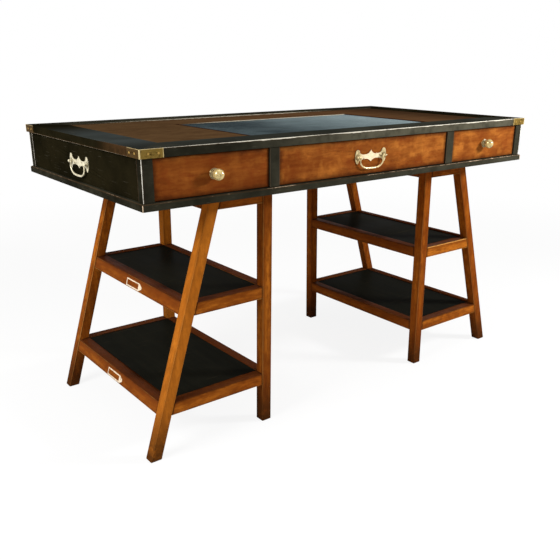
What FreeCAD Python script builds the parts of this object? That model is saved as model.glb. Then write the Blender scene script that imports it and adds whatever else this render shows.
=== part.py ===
# Campaign desk: a black drawer case with a bordered top, standing on two shelved trestles.
# Millimetres. +X runs to the right end, +Y to the back, +Z up; the floor is at zero.
import FreeCAD, Part
import Sketcher
import os

doc = FreeCAD.newDocument("campaign_desk")
sheet = doc.addObject("Spreadsheet::Sheet", "Sizes")

sizes = {
    # The top: border, field, leather and brass corners
    "top_length": 1354,
    "top_depth": 692,
    "top_thick": 20,
    "top_overhang": 4,
    "border_width": 88,
    "field_thick": 10,
    "field_drop": 2,
    "field_ledge": 14,
    "pad_length": 648,
    "pad_depth": 378,
    "pad_thick": 2,
    "pad_drop": 1.5,
    "corner_arm": 56,
    "corner_thick": 1.6,
    "corner_screw_radius": 1.3,
    "corner_screw_length": 12,
    "corner_head_radius": 2.6,
    "corner_head_rise": 0.7,
    # The case
    "case_height": 95,
    "post_width": 27,
    "post_depth": 22,
    "panel_thick": 13,
    "panel_recess": 4,
    "divider_width": 29,
    "divider_web": 14,
    "side_opening": 308,
    "plinth_height": 17,
    "plinth_proud": 5,
    "plinth_width": 24,
    "guide_height": 25,
    # The drawers
    "drawer_gap": 1.5,
    "drawer_set_back": 4,
    "drawer_run_gap": 0.3,
    "drawer_back_room": 103,
    "drawer_front_thick": 18,
    "drawer_board_thick": 10,
    "drawer_side_height": 72,
    "drawer_bottom_thick": 5,
    "drawer_bottom_rise": 8,
    "drawer_groove": 4,
    # The knobs
    "knob_radius": 13.5,
    "knob_reach": 31,
    "knob_base_radius": 13,
    "knob_base_thick": 3,
    "knob_ring_radius": 11.5,
    "knob_ring_thick": 4,
    "knob_neck_radius": 9,
    "knob_screw_radius": 2,
    "knob_screw_grip": 9,
    "knob_screw_head_radius": 4,
    "knob_screw_head_thick": 2.5,
    # The bail pulls
    "plate_length": 114,
    "plate_height": 39,
    "plate_thick": 2,
    "pull_spacing": 97,
    "pull_standoff": 5,
    "pull_ball_radius": 3.8,
    "pull_neck_radius": 2.8,
    "pull_collar_radius": 5,
    "pull_collar_thick": 1.2,
    "pull_shank_radius": 2,
    "pull_shank_spare": 1.5,
    "pull_nut_radius": 4.5,
    "pull_nut_thick": 3,
    "bail_rod_radius": 2.5,
    "bail_width": 82.6,
    "bail_drop": 31,
    "bail_bend": 23,
    "bail_elbow": 3.2,
    "bail_pin_past": 5.5,
    # The trestles
    "trestle_height": 648,
    "trestle_set_back": 61.5,
    "trestle_forward": 7,
    "leg_width": 29,
    "raked_leg_width": 30.5,
    "upright_top_inset": 369,
    "upright_foot_inset": 361,
    "raked_top_inset": 215,
    "raked_foot_inset": 16.5,
    "rail_thick": 28.5,
    "top_rail_height": 32,
    "shelf_rail_height": 32,
    "upper_rail_top": 395,
    "lower_rail_top": 145.5,
    "shelf_drop": 1.5,
    "shelf_thick": 9,
    "label_length": 87,
    "label_height": 20,
    "label_rim": 3,
    "label_ear": 15,
    "label_nose": 5,
    "label_drop": 3,
    "label_forward": 7.5,
    "label_thick": 1.5,
    # Fits
    "joint_clear": 0.1,
    "pivot_clear": 0.08,
    "cut_overrun": 2,
}

for row, (alias, length) in enumerate(sizes.items(), start=1):
    sheet.set(f"A{row}", alias)
    sheet.set(f"B{row}", str(length))
    sheet.setAlias(f"B{row}", alias)
doc.recompute()


class Size:
    """A length of the desk, as the text of an expression on the sheet and as its present value."""

    def __init__(self, text, value):
        self.text = text
        self.value = value

    def __add__(self, other):
        other = as_size(other)
        return Size(f"({self.text} + {other.text})", self.value + other.value)

    def __sub__(self, other):
        other = as_size(other)
        return Size(f"({self.text} - {other.text})", self.value - other.value)

    def __mul__(self, other):
        other = as_size(other)
        return Size(f"({self.text} * {other.text})", self.value * other.value)

    def __truediv__(self, other):
        other = as_size(other)
        return Size(f"({self.text} / {other.text})", self.value / other.value)

    def __rmul__(self, other):
        return as_size(other) * self

    def __neg__(self):
        return Size(f"(-{self.text})", -self.value)

    def root(self):
        return Size(f"sqrt({self.text})", self.value ** 0.5)


def as_size(length):
    return length if isinstance(length, Size) else Size(str(length), length)


def named(alias):
    return Size(f"Sizes.{alias}", sizes[alias])


zero = as_size(0)
case_length = named("top_length") - 2 * named("top_overhang")
case_depth = named("top_depth") - 2 * named("top_overhang")
half_length = case_length / 2
half_depth = case_depth / 2
floor_z = named("trestle_height") + named("plinth_height")
under_top_z = floor_z + named("case_height")
clear = named("joint_clear")
overrun = named("cut_overrun")

# The knobs reach further forward than the top's brass reaches back, and the frame's origin halves the two.
front_y = named("drawer_set_back") - half_depth
knobs_past = named("knob_reach") - named("drawer_set_back") - named("top_overhang")
brass_past = named("corner_thick") + named("corner_head_rise")
middle_y = (knobs_past - brass_past) / 2

pieces = []


def keep(thing, label):
    """Makes a finished object one of the desk's pieces."""
    thing.Label = label
    pieces.append(thing)
    return thing


def bind(thing, **lengths):
    for name, length in lengths.items():
        thing.setExpression(name, as_size(length).text)


def put(thing, x, y, z, axis=(0, 0, 1), turn=0):
    """Places an object; y counts from the desk's middle plane, and turn is in degrees."""
    thing.Placement = FreeCAD.Placement(FreeCAD.Vector(), FreeCAD.Rotation(FreeCAD.Vector(*axis), turn))
    for name, length in zip("xyz", (x, middle_y + y, z)):
        thing.setExpression(f"Placement.Base.{name}", as_size(length).text)
    return thing


def box(name, x, y, z, length, width, height):
    thing = doc.addObject("Part::Box", name)
    bind(thing, Length=length, Width=width, Height=height)
    return put(thing, x, y, z)


quarter_turns = {"x": ((0, 1, 0), 90), "y": ((1, 0, 0), -90)}


def rod(name, along, x, y, z, radius, length):
    """A cylinder that starts at a point and runs along +X or +Y."""
    thing = doc.addObject("Part::Cylinder", name)
    bind(thing, Radius=radius, Height=length)
    return put(thing, x, y, z, *quarter_turns[along])


def compound(name, members):
    thing = doc.addObject("Part::Compound", name)
    thing.Links = members
    return thing


def cut(name, base, tools):
    thing = doc.addObject("Part::Cut", name)
    thing.Base = base
    thing.Tool = tools[0] if len(tools) == 1 else compound(f"{name}_tools", tools)
    return thing


def fuse(name, members):
    thing = doc.addObject("Part::MultiFuse", name)
    thing.Shapes = members
    return thing


def start_sketch(body, plane_role, lift=None):
    sketch = body.newObject("Sketcher::SketchObject", f"{body.Name}_sketch")
    plane = next(part for part in body.Origin.OriginFeatures if part.Role == plane_role)
    sketch.AttachmentSupport = [(plane, "")]
    sketch.MapMode = "FlatFace"
    if lift is not None:
        bind(sketch, **{"AttachmentOffset.Base.z": lift})
    return sketch


def pin_point(sketch, geometry, end, u, v):
    """Ties one end of a line or arc to its distances from the sketch's origin."""
    for kind, length in (("DistanceX", as_size(u)), ("DistanceY", as_size(v))):
        number = sketch.addConstraint(Sketcher.Constraint(kind, -1, 1, geometry, end, length.value))
        sketch.setExpression(f"Constraints[{number}]", length.text)


def vector(u, v):
    return FreeCAD.Vector(as_size(u).value, as_size(v).value, 0)


def draw(sketch, corners, closed=True):
    """Draws corners (u, v) joined by lines; a corner (u, v, (u, v)) starts an arc through the inner pair."""
    count = len(corners)
    runs = count if closed else count - 1
    for number in range(runs):
        here = corners[number]
        there = corners[(number + 1) % count]
        if len(here) == 3:
            edge = Part.Arc(vector(*here[:2]), vector(*here[2]), vector(*there[:2]))
        else:
            edge = Part.LineSegment(vector(*here), vector(*there[:2]))
        sketch.addGeometry(edge, False)
    for number in range(count if closed else runs - 1):
        ends = joint_ends(sketch, number, (number + 1) % runs)
        sketch.addConstraint(Sketcher.Constraint("Coincident", *ends))
    for number, corner in enumerate(corners):
        geometry = min(number, runs - 1)
        pin_point(sketch, geometry, point_at(sketch, geometry, vector(*corner[:2])), *corner[:2])
        if len(corner) == 3:
            through = sketch.addGeometry(Part.Point(vector(*corner[2])), True)
            pin_point(sketch, through, 1, *corner[2])
            sketch.addConstraint(Sketcher.Constraint("PointOnObject", through, 1, number))


def point_at(sketch, geometry, place):
    """The end, 1 or 2, of a sketch edge that lies at a place: an arc may run either way round."""
    gaps = [(sketch.getPoint(geometry, end) - place).Length for end in (1, 2)]
    return 1 + gaps.index(min(gaps))


def joint_ends(sketch, before, after):
    pairs = [(one, two) for one in (1, 2) for two in (1, 2)]
    gaps = [(sketch.getPoint(before, one) - sketch.getPoint(after, two)).Length for one, two in pairs]
    one, two = pairs[gaps.index(min(gaps))]
    return before, one, after, two


def new_body(name):
    return doc.addObject("PartDesign::Body", name)


def pad(body, plane_role, corners, length, lift=None, reverse=False):
    sketch = start_sketch(body, plane_role, lift)
    draw(sketch, corners)
    feature = body.newObject("PartDesign::Pad", f"{body.Name}_pad")
    feature.Profile = sketch
    feature.Reversed = reverse
    bind(feature, Length=length)
    return feature


def prism_z(name, x, y, z, corners, height):
    """A plan outline raised to a height."""
    body = new_body(name)
    pad(body, "XY_Plane", corners, height)
    return put(body, x, y, z)


def prism_y(name, y, corners, width):
    """An outline in the plane of length and height, carried back from y."""
    body = new_body(name)
    pad(body, "XZ_Plane", corners, width, reverse=True)
    return put(body, 0, y, 0)


def turning(name, corners):
    """A turned piece about its own Z axis, from a profile of (radius, distance along the axis)."""
    body = new_body(name)
    sketch = start_sketch(body, "XZ_Plane")
    draw(sketch, corners)
    feature = body.newObject("PartDesign::Revolution", f"{name}_turn")
    feature.Profile = sketch
    feature.ReferenceAxis = (sketch, ["V_Axis"])
    return body


# The top: a mitred border with a ledge inside, the field on the ledge, and the leather in the field.
half_top_length = named("top_length") / 2
half_top_depth = named("top_depth") / 2
border = named("border_width")
ledge_height = named("top_thick") - named("field_drop") - named("field_thick")
field_z = under_top_z + ledge_height
field_top_z = field_z + named("field_thick")
screw_place_shares = (0.34, 0.77)


def corner_screws():
    """Middle and direction of every corner screw: (x, y, runs along, sign inwards)."""
    places = []
    for side in (-1, 1):
        for end in (-1, 1):
            for share in screw_place_shares:
                back_off = named("corner_arm") * share
                places.append((side * (half_top_length - back_off), end * half_top_depth, "y", -end))
                places.append((side * half_top_length, end * (half_top_depth - back_off), "x", -side))
    return places


def screw_rod(name, place, radius, out, deep):
    """A cylinder on a corner screw's axis, from out proud of the top's edge to deep within it."""
    x, y, along, sign = place
    start = -out if sign > 0 else -deep
    x = x + start if along == "x" else x
    y = y + start if along == "y" else y
    return rod(name, along, x, y, under_top_z + named("top_thick") / 2, radius, out + deep)


def border_rail(label, runs_along, sign):
    """One rail of the border: a ledge layer and a narrower layer over it, mitred at both ends."""
    half_run = half_top_length if runs_along == "x" else half_top_depth
    half_across = half_top_depth if runs_along == "x" else half_top_length
    body = new_body(f"{label}_board")
    layers = ((border + named("field_ledge"), ledge_height, None),
              (border, named("top_thick") - ledge_height, ledge_height))
    for width, height, lift in layers:
        corners = [(-half_run, half_across), (half_run, half_across),
                   (half_run - width, half_across - width), (width - half_run, half_across - width)]
        if runs_along == "x":
            corners = [(u, sign * v) for u, v in corners]
        else:
            corners = [(sign * v, u) for u, v in corners]
        pad(body, "XY_Plane", corners, height, lift)
    put(body, 0, 0, under_top_z)
    holes = [screw_rod(f"{label}_screw_hole", place, named("corner_screw_radius") + clear,
                       overrun, named("corner_screw_length") + clear)
             for place in corner_screws() if sits_in(place, runs_along, sign)]
    return keep(cut(label, body, holes), label)


def sits_in(place, runs_along, sign):
    """Whether a corner screw goes into the rail on this side of the top."""
    return place[2] != runs_along and place[3] == -sign


border_rail("top_rail_front", "x", -1)
border_rail("top_rail_back", "x", 1)
border_rail("top_rail_left", "y", -1)
border_rail("top_rail_right", "y", 1)

field_half_length = half_top_length - border
field_half_depth = half_top_depth - border
pad_bed = named("pad_thick") + named("pad_drop")
field_board = box("field_board", -field_half_length, -field_half_depth, field_z,
                  2 * field_half_length, 2 * field_half_depth, named("field_thick"))
pad_bed_cut = box("pad_bed_cut", -named("pad_length") / 2, -field_half_depth - overrun, field_top_z - pad_bed,
                  named("pad_length"), named("pad_depth") + overrun, pad_bed + overrun)
keep(cut("top_field", field_board, [pad_bed_cut]), "top_field")
keep(box("writing_pad", clear - named("pad_length") / 2, clear - field_half_depth, field_top_z - pad_bed,
         named("pad_length") - 2 * clear, named("pad_depth") - 2 * clear, named("pad_thick")), "writing_pad")


def corner_plate(side, end):
    """A brass angle wrapped round one corner of the top."""
    name = f"corner_plate_{'left' if side < 0 else 'right'}_{'front' if end < 0 else 'back'}"
    thick = named("corner_thick")
    arm = named("corner_arm")
    corners = [(thick, thick), (-arm, thick), (-arm, zero), (zero, zero), (zero, -arm), (thick, -arm)]
    corners = [(side * u, end * v) for u, v in corners]
    angle = prism_z(f"{name}_angle", side * half_top_length, end * half_top_depth, under_top_z,
                    corners, named("top_thick"))
    holes = [screw_rod(f"{name}_hole", place, named("corner_screw_radius") + clear, thick + overrun, overrun)
             for place in corner_screws() if at_corner(place, side, end)]
    return cut(name, angle, holes)


def at_corner(place, side, end):
    return place[0].value * side > 0 and place[1].value * end > 0


def corner_screw(number, place):
    thick = named("corner_thick")
    shank = screw_rod(f"corner_screw_{number}_shank", place, named("corner_screw_radius"),
                      thick, named("corner_screw_length"))
    head = screw_rod(f"corner_screw_{number}_head", place, named("corner_head_radius"),
                     thick + named("corner_head_rise"), -thick)
    return fuse(f"corner_screw_{number}", [shank, head])


both_ways = [(side, end) for side in (-1, 1) for end in (-1, 1)]
keep(compound("corner_plates", [corner_plate(side, end) for side, end in both_ways]), "corner_plates")
keep(compound("corner_plate_screws",
              [corner_screw(number, place) for number, place in enumerate(corner_screws(), start=1)]),
     "corner_plate_screws")

# The case: posts, panels between them, dividers, the board under the drawers and the plinth round it.
case_height = named("case_height")
post_width = named("post_width")
post_depth = named("post_depth")
panel_face_x = half_length - named("panel_recess")
panel_back_y = half_depth - named("panel_recess")


def corner_post(side, end):
    x = -half_length if side < 0 else half_length - post_width
    y = -half_depth if end < 0 else half_depth - post_depth
    return box("corner_post", x, y, floor_z, post_width, post_depth, case_height)


keep(compound("corner_posts", [corner_post(side, end) for side, end in both_ways]), "corner_posts")

panel_thick = named("panel_thick")
handle_z = floor_z + case_height / 2
pull_places = (-named("pull_spacing") / 2, named("pull_spacing") / 2)
pull_hole_radius = named("pull_shank_radius") + clear


def end_panel(label, side):
    """A board between two posts, bored for the posts of its handle."""
    x = -panel_face_x if side < 0 else panel_face_x - panel_thick
    board = box(f"{label}_board", x, post_depth - half_depth, floor_z,
                panel_thick, 2 * (half_depth - post_depth), case_height)
    holes = [rod(f"{label}_hole", "x", x - overrun, place, handle_z,
                 pull_hole_radius, panel_thick + 2 * overrun) for place in pull_places]
    return keep(cut(label, board, holes), label)


end_panel("end_panel_left", -1)
end_panel("end_panel_right", 1)
keep(box("back_panel", post_width - half_length, panel_back_y - panel_thick, floor_z,
         2 * (half_length - post_width), panel_thick, case_height), "back_panel")

divider_middle_x = half_length - post_width - named("side_opening") - named("divider_width") / 2
divider_back_y = panel_back_y - panel_thick


def divider(label, side):
    """A stile on the front with a narrower board behind it that reaches the back panel."""
    stile = named("divider_width") / 2
    web = named("divider_web") / 2
    corners = [(-stile, -half_depth), (stile, -half_depth), (stile, post_depth - half_depth),
               (web, post_depth - half_depth), (web, divider_back_y), (-web, divider_back_y),
               (-web, post_depth - half_depth), (-stile, post_depth - half_depth)]
    return keep(prism_z(label, side * divider_middle_x, 0, floor_z, corners, case_height), label)


divider("divider_left", -1)
divider("divider_right", 1)

plinth_half_length = half_length + named("plinth_proud")
plinth_half_depth = half_depth + named("plinth_proud")
plinth_width = named("plinth_width")
board_half_length = plinth_half_length - plinth_width
board_half_depth = plinth_half_depth - plinth_width
keep(box("bottom_board", -board_half_length, -board_half_depth, named("trestle_height"),
         2 * board_half_length, 2 * board_half_depth, named("plinth_height")), "bottom_board")


def plinth_strip(runs_along, sign):
    half_run = plinth_half_length if runs_along == "x" else plinth_half_depth
    half_across = plinth_half_depth if runs_along == "x" else plinth_half_length
    corners = [(-half_run, half_across), (half_run, half_across),
               (half_run - plinth_width, half_across - plinth_width),
               (plinth_width - half_run, half_across - plinth_width)]
    corners = [(u, sign * v) if runs_along == "x" else (sign * v, u) for u, v in corners]
    return prism_z("plinth_strip", 0, 0, named("trestle_height"), corners, named("plinth_height"))


keep(compound("plinth_mouldings", [plinth_strip(run, sign) for run in "xy" for sign in (-1, 1)]),
     "plinth_mouldings")

guide_front_y = post_depth - half_depth
guide_length = divider_back_y - guide_front_y
end_guide_width = post_width - named("panel_recess") - panel_thick
end_guide_length = 2 * (half_depth - post_depth)
divider_guide_width = (named("divider_width") - named("divider_web")) / 2


def drawer_guides():
    """A strip along each side of each drawer: two against the end panels, four against the dividers."""
    strips = []
    for side in (-1, 1):
        x = post_width - end_guide_width - half_length if side < 0 else half_length - post_width
        strips.append(box("end_guide", x, guide_front_y, floor_z,
                          end_guide_width, end_guide_length, named("guide_height")))
        for flank in (-1, 1):
            near = named("divider_web") / 2 if flank > 0 else -named("divider_width") / 2
            strips.append(box("divider_guide", side * divider_middle_x + near, guide_front_y, floor_z,
                              divider_guide_width, guide_length, named("guide_height")))
    return strips


keep(compound("drawer_guides", drawer_guides()), "drawer_guides")

# The drawers: a front set a little inside the case, grooved sides, a back, and a bottom in the grooves.
gap = named("drawer_gap")
front_thick = named("drawer_front_thick")
board_thick = named("drawer_board_thick")
groove = named("drawer_groove")
side_z = floor_z + named("drawer_run_gap")
bottom_z = side_z + named("drawer_bottom_rise")
bottom_top_z = bottom_z + named("drawer_bottom_thick")
side_top_z = side_z + named("drawer_side_height")
side_front_y = front_y + front_thick
drawer_back_y = divider_back_y - named("drawer_back_room")
centre_opening = 2 * (divider_middle_x - named("divider_width") / 2)
side_middle_x = half_length - post_width - named("side_opening") / 2


def drawer(name, middle_x, opening, holes):
    """One drawer; holes are (distance from its middle, radius) of the bores through its front."""
    half_width = opening / 2 - gap
    inner = half_width - board_thick
    front = box(f"{name}_front_board", middle_x - half_width, front_y, floor_z + gap,
                2 * half_width, front_thick, case_height - 2 * gap)
    front_groove = box(f"{name}_front_groove", middle_x - inner - groove, side_front_y - groove, bottom_z,
                       2 * (inner + groove), groove + overrun, named("drawer_bottom_thick"))
    bores = [rod(f"{name}_bore", "y", middle_x + place, front_y - overrun, handle_z,
                 radius, front_thick + 2 * overrun) for place, radius in holes]
    keep(cut(f"{name}_front", front, [front_groove] + bores), f"{name}_front")

    boards = []
    for side in (-1, 1):
        x = middle_x - half_width if side < 0 else middle_x + inner
        groove_x = middle_x - inner - groove if side < 0 else middle_x + inner - overrun
        board = box(f"{name}_side_board", x, side_front_y, side_z,
                    board_thick, drawer_back_y - side_front_y, named("drawer_side_height"))
        side_groove = box(f"{name}_side_groove", groove_x, side_front_y - overrun, bottom_z,
                          groove + overrun, drawer_back_y - side_front_y + 2 * overrun,
                          named("drawer_bottom_thick"))
        boards.append(cut(f"{name}_side", board, [side_groove]))
    boards.append(box(f"{name}_back", middle_x - inner, drawer_back_y - board_thick, bottom_top_z,
                      2 * inner, board_thick, side_top_z - bottom_top_z))
    keep(compound(f"{name}_box", boards), f"{name}_box")
    keep(box(f"{name}_bottom", middle_x - inner - groove + clear, side_front_y - groove + clear, bottom_z,
             2 * (inner + groove - clear), drawer_back_y - side_front_y + groove - clear,
             named("drawer_bottom_thick")), f"{name}_bottom")


knob_bore = [(zero, named("knob_screw_radius") + clear)]
drawer("drawer_left", -side_middle_x, named("side_opening"), knob_bore)
drawer("drawer_centre", zero, centre_opening, [(place, pull_hole_radius) for place in pull_places])
drawer("drawer_right", side_middle_x, named("side_opening"), knob_bore)


def knob(label, middle_x):
    """A turned knob: a rosette, a ring and a ball head close on it, bored behind for its screw."""
    reach = named("knob_reach")
    radius = named("knob_radius")
    neck = named("knob_neck_radius")
    base = named("knob_base_thick")
    ring = named("knob_ring_thick")
    bore = named("knob_screw_radius") + clear
    depth = named("knob_screw_grip") + clear
    swell_share = 0.85
    centre = reach - radius
    under = centre - (radius * radius - neck * neck).root()
    base_radius = named("knob_base_radius")
    corners = [(bore, 0), (base_radius, 0),
               (base_radius, base / 2, (base_radius * swell_share, base * swell_share)),
               (named("knob_ring_radius"), base),
               (named("knob_ring_radius"), base + ring / 2),
               (neck, base + ring),
               (neck, under, (radius, centre)),
               (0, reach), (0, depth), (bore, depth)]
    body = turning(label, corners)
    put(body, middle_x, front_y, handle_z, (1, 0, 0), 90)
    keep(body, label)
    screw = fuse(f"{label}_screw", [
        rod(f"{label}_screw_shank", "y", middle_x, front_y - named("knob_screw_grip"), handle_z,
            named("knob_screw_radius"), front_thick + named("knob_screw_grip")),
        rod(f"{label}_screw_head", "y", middle_x, side_front_y, handle_z,
            named("knob_screw_head_radius"), named("knob_screw_head_thick"))])
    keep(screw, f"{label}_screw")


knob("knob_left", -side_middle_x)
knob("knob_right", side_middle_x)

# The bail pulls: an ogee plate, two ball-headed posts with nuts behind, and a bail that swings in the balls.
# The plate's right half, clockwise from the upper point: shares of the half length and half height.
plate_edge_shares = (((0.00, 0.85), (0.12, 0.50)), ((0.38, 0.31), (0.58, 0.36)),
                     ((0.71, 0.55), (0.745, 0.84)), ((0.83, 1.00), (0.925, 0.90)),
                     ((0.97, 0.55), (0.995, 0.30)), ((1.00, 0.02), (0.985, -0.40)),
                     ((0.93, -0.72), (0.87, -0.90)), ((0.79, -0.72), (0.76, -0.55)),
                     ((0.68, -0.42), (0.55, -0.33)), ((0.40, -0.31), (0.13, -0.42)),
                     ((0.00, -0.70), None))


def plate_outline():
    """The whole outline of a plate, with its pivots on the sketch's horizontal axis."""
    half_plate = named("plate_length") / 2
    half_tall = named("plate_height") / 2

    def corner(share, through, sign):
        point = (sign * share[0] * half_plate, share[1] * half_tall)
        if through is None:
            return point
        return point + ((sign * through[0] * half_plate, through[1] * half_tall),)

    right = [corner(share, through, 1) for share, through in plate_edge_shares[:-1]]
    left = []
    for number in range(len(plate_edge_shares) - 1, 0, -1):
        left.append(corner(plate_edge_shares[number][0], plate_edge_shares[number - 1][1], -1))
    return right + left


def along_wall(turn, across, out):
    """Plan offsets of a point across a pull and out from its wall, for a pull turned about the vertical."""
    across = as_size(across)
    out = as_size(out)
    return {0: (across, -out), -90: (-out, -across), 90: (out, across)}[turn]


def pull(label, wall_x, wall_y, wall_thick, turn):
    """A pull whose plate lies on a wall; turn is 0 on the front, -90 on the left end and 90 on the right."""
    thick = named("plate_thick")

    def stand(thing, across, out, axis=(0, 0, 1), tilt=0):
        x, y = along_wall(turn, across, out)
        spin = FreeCAD.Rotation(FreeCAD.Vector(0, 0, 1), turn) * FreeCAD.Rotation(FreeCAD.Vector(*axis), tilt)
        put(thing, wall_x + x, wall_y + y, handle_z)
        thing.Placement = FreeCAD.Placement(thing.Placement.Base, spin)
        return thing

    plate = new_body(f"{label}_blank")
    pad(plate, "XZ_Plane", plate_outline(), thick)
    stand(plate, 0, 0)
    holes = []
    for place in pull_places:
        hole = doc.addObject("Part::Cylinder", f"{label}_plate_hole")
        bind(hole, Radius=pull_hole_radius, Height=thick + 2 * overrun)
        holes.append(stand(hole, place, -overrun, (1, 0, 0), 90))
    keep(cut(f"{label}_drilled_plate", plate, holes), f"{label}_plate")

    fixings = []
    for place in pull_places:
        post = turning(f"{label}_post", post_profile(thick, wall_thick))
        bore_pivot(post, thick)
        fixings.append(stand(post, place, 0, (1, 0, 0), 90))
        nut = turning(f"{label}_nut", [(pull_hole_radius, 0), (named("pull_nut_radius"), 0),
                                       (named("pull_nut_radius"), named("pull_nut_thick")),
                                       (pull_hole_radius, named("pull_nut_thick"))])
        fixings.append(stand(nut, place, -wall_thick - named("pull_nut_thick"), (1, 0, 0), 90))
    keep(compound(f"{label}_fixings", fixings), f"{label}_posts")

    keep(stand(bail(f"{label}_bail"), 0, thick + named("pull_standoff")), f"{label}_bail")


def post_profile(thick, wall_thick):
    """Half section of a post: shank through plate and wall, collar, neck and ball."""
    shank = named("pull_shank_radius")
    neck = named("pull_neck_radius")
    collar = named("pull_collar_radius")
    ball = named("pull_ball_radius")
    inside = -wall_thick - named("pull_nut_thick") - named("pull_shank_spare")
    centre = thick + named("pull_standoff")
    collar_top = thick + named("pull_collar_thick")
    return [(0, inside), (shank, inside), (shank, thick), (collar, thick), (collar, collar_top),
            (neck, collar_top), (neck, centre - (ball * ball - neck * neck).root(), (ball, centre)),
            (0, centre + ball)]


def bore_pivot(post, thick):
    """Bores the ball of a post for the pin of the bail, from side to side."""
    sketch = start_sketch(post, "YZ_Plane")
    circle = Part.Circle(FreeCAD.Vector(), FreeCAD.Vector(0, 0, 1), named("bail_rod_radius").value)
    sketch.addGeometry(circle, False)
    pin_point(sketch, 0, 3, 0, thick + named("pull_standoff"))
    number = sketch.addConstraint(Sketcher.Constraint("Radius", 0, named("bail_rod_radius").value))
    sketch.setExpression(f"Constraints[{number}]", (named("bail_rod_radius") + named("pivot_clear")).text)
    pocket = post.newObject("PartDesign::Pocket", f"{post.Name}_pivot")
    pocket.Profile = sketch
    pocket.Midplane = True
    bind(pocket, Length=2 * (named("pull_ball_radius") + overrun))


def bail(name):
    """A round rod bent to hang between the posts, its ends turned out as pivot pins."""
    rod_radius = named("bail_rod_radius")
    half_width = named("bail_width") / 2
    elbow = named("bail_elbow")
    bend = named("bail_bend")
    drop = named("bail_drop")
    tip = named("pull_spacing") / 2 + named("bail_pin_past")
    pin = half_width + elbow
    mid_share = 1 - 0.5 ** 0.5
    body = new_body(name)
    path = start_sketch(body, "XZ_Plane")
    places = [(-tip, 0),
              (-pin, 0, (-half_width - elbow * mid_share, -elbow * mid_share)),
              (-half_width, -elbow),
              (-half_width, bend - drop, (bend * mid_share - half_width, bend * mid_share - drop)),
              (bend - half_width, -drop),
              (half_width - bend, -drop, (half_width - bend * mid_share, bend * mid_share - drop)),
              (half_width, bend - drop),
              (half_width, -elbow, (half_width + elbow * mid_share, -elbow * mid_share)),
              (pin, 0),
              (tip, 0)]
    draw(path, places, closed=False)
    section = start_sketch(body, "YZ_Plane", -tip)
    section.addGeometry(Part.Circle(FreeCAD.Vector(), FreeCAD.Vector(0, 0, 1), rod_radius.value), False)
    pin_point(section, 0, 3, 0, 0)
    number = section.addConstraint(Sketcher.Constraint("Radius", 0, rod_radius.value))
    section.setExpression(f"Constraints[{number}]", rod_radius.text)
    doc.recompute()
    pipe = body.newObject("PartDesign::AdditivePipe", f"{name}_pipe")
    pipe.Profile = section
    pipe.Spine = (path, [f"Edge{number}" for number in range(1, len(places))])
    return body


pull("centre_pull", zero, front_y, front_thick, 0)
pull("left_handle", -panel_face_x, zero, panel_thick, -90)
pull("right_handle", panel_face_x, zero, panel_thick, 90)

# The trestles: upright legs towards the knees, raked legs outside, rails nearly as thick as the legs.
# They stand a little in front of the case's middle.
leg = named("leg_width")
raked = named("raked_leg_width")
trestle_height = named("trestle_height")
trestle_front = named("trestle_set_back") - named("trestle_forward") - half_depth
trestle_back = half_depth - named("trestle_set_back") - named("trestle_forward")
behind_leg = trestle_front + leg
between_legs = trestle_back - leg - behind_leg
rail_thick = named("rail_thick")


def leg_x(kind, z):
    """Middle of an upright or raked leg at a height, from insets that count from the end of the case."""
    foot = named(f"{kind}_foot_inset")
    top = named(f"{kind}_top_inset")
    return half_length - foot - (top - foot) / trestle_height * z


def band(side, low_z, high_z, left, right):
    """Corners of a band between two heights, whose sides follow left(z) and right(z) on the right trestle."""
    corners = [(left(low_z), low_z), (right(low_z), low_z), (right(high_z), high_z), (left(high_z), high_z)]
    return [(side * u, v) for u, v in corners]


def upright_inner(z):
    return leg_x("upright", z) - leg / 2


def upright_outer(z):
    return leg_x("upright", z) + leg / 2


def raked_inner(z):
    return leg_x("raked", z) - raked / 2


def raked_outer(z):
    return leg_x("raked", z) + raked / 2


def side_rail_outer(z):
    return raked_inner(z) + rail_thick


def side_rail_inner(z):
    return upright_outer(z) - rail_thick


def rails(label, side, low_z, high_z):
    """Four rails between the legs: front, back, outer side and knee side."""
    level = band(side, low_z, high_z, upright_outer, raked_inner)
    front = prism_y(f"{label}_front", behind_leg - rail_thick, level, rail_thick)
    back = prism_y(f"{label}_back", trestle_back - leg, level, rail_thick)
    outer = prism_y(f"{label}_outer", behind_leg,
                    band(side, low_z, high_z, raked_inner, side_rail_outer), between_legs)
    knee = prism_y(f"{label}_knee", behind_leg,
                   band(side, low_z, high_z, side_rail_inner, upright_outer), between_legs)
    keep(compound(label, [front, back, outer, knee]), label)


def label_frame(name, side, rail_top_z):
    """A flat brass frame on an outer side rail, with a pointed ear at its front end."""
    middle_z = rail_top_z - named("shelf_rail_height") / 2 - named("label_drop")
    low = middle_z - named("label_height") / 2
    high = middle_z + named("label_height") / 2
    rim = named("label_rim")
    ear = named("label_ear")
    length = named("label_length")
    start = (trestle_front + trestle_back) / 2 - named("label_forward") - length / 2
    blank = prism_y(f"{name}_blank", start, band(side, low, high, side_rail_outer, label_face), length)
    window = prism_y(f"{name}_window", start + ear + rim,
                     band(side, low + rim, high - rim, label_window_back, label_window_front),
                     length - ear - 2 * rim)
    before = start - overrun
    nicks = []
    for edge_z, past_z, nose_z in ((low, low - overrun, middle_z - named("label_nose") / 2),
                                   (high, high + overrun, middle_z + named("label_nose") / 2)):
        nick = new_body(f"{name}_nick")
        near = label_window_back(high)
        far = label_window_front(low)
        pad(nick, "YZ_Plane", [(before, past_z), (start + ear, past_z), (start + ear, edge_z),
                               (start, nose_z), (before, nose_z)], far - near)
        nicks.append(put(nick, near if side > 0 else -far, zero, zero))
    return cut(name, blank, [window] + nicks)


def label_face(z):
    return side_rail_outer(z) + named("label_thick")


def label_window_back(z):
    return side_rail_outer(z) - overrun


def label_window_front(z):
    return label_face(z) + overrun


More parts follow.
